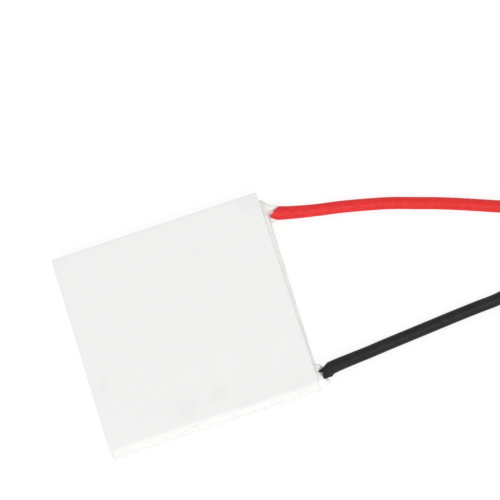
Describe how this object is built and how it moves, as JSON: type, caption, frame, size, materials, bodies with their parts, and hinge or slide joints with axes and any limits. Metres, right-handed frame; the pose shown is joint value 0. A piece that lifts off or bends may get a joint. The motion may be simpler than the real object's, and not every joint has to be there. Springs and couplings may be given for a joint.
{
  "type": "thermoelectric cooling module",
  "caption": "Flat square solid-state heat pump: two ceramic plates with soldered thermocouple legs between them, a sealed edge, and a red and a black lead.",
  "frame": {"origin": "centre of the hot plate's outer face, which the module lies on", "axes": "+Z out of the cold plate's face; the leads leave towards +X, red at the +Y corner and black at the -Y corner"},
  "size_m": [0.1169, 0.0628, 0.0052],
  "materials": {
    "alumina": "matt, fired white alumina",
    "copper": "bright copper strip",
    "solder": "dull tin solder",
    "leg_alloy_p": "cast and sawn bismuth telluride",
    "leg_alloy_n": "cast and sawn bismuth telluride",
    "silicone": "white silicone, satin",
    "tinned_wire": "tinned copper strands",
    "red_insulation": "soft satin plastic",
    "black_insulation": "soft satin plastic",
    "tie": "thin white plastic strip over a wire"
  },
  "bodies": {
    "root": {"hot_plate": "alumina", "cold_plate": "alumina", "hot_side_tabs": "copper", "cold_side_tabs": "copper", "red_terminal_pad": "copper", "black_terminal_pad": "copper", "hot_side_solder": "solder", "cold_side_solder": "solder", "p_legs": "leg_alloy_p", "n_legs": "leg_alloy_n", "edge_sealant": "silicone", "red_terminal_solder": "solder", "black_terminal_solder": "solder", "red_conductor": "tinned_wire", "black_conductor": "tinned_wire", "red_lead": "red_insulation", "black_lead": "black_insulation", "red_lead_coil": "red_insulation", "black_lead_coil": "black_insulation", "red_lead_tip": "tinned_wire", "black_lead_tip": "tinned_wire", "red_lead_tie": "tie", "black_lead_tie": "tie"}
  },
  "joints": []
}
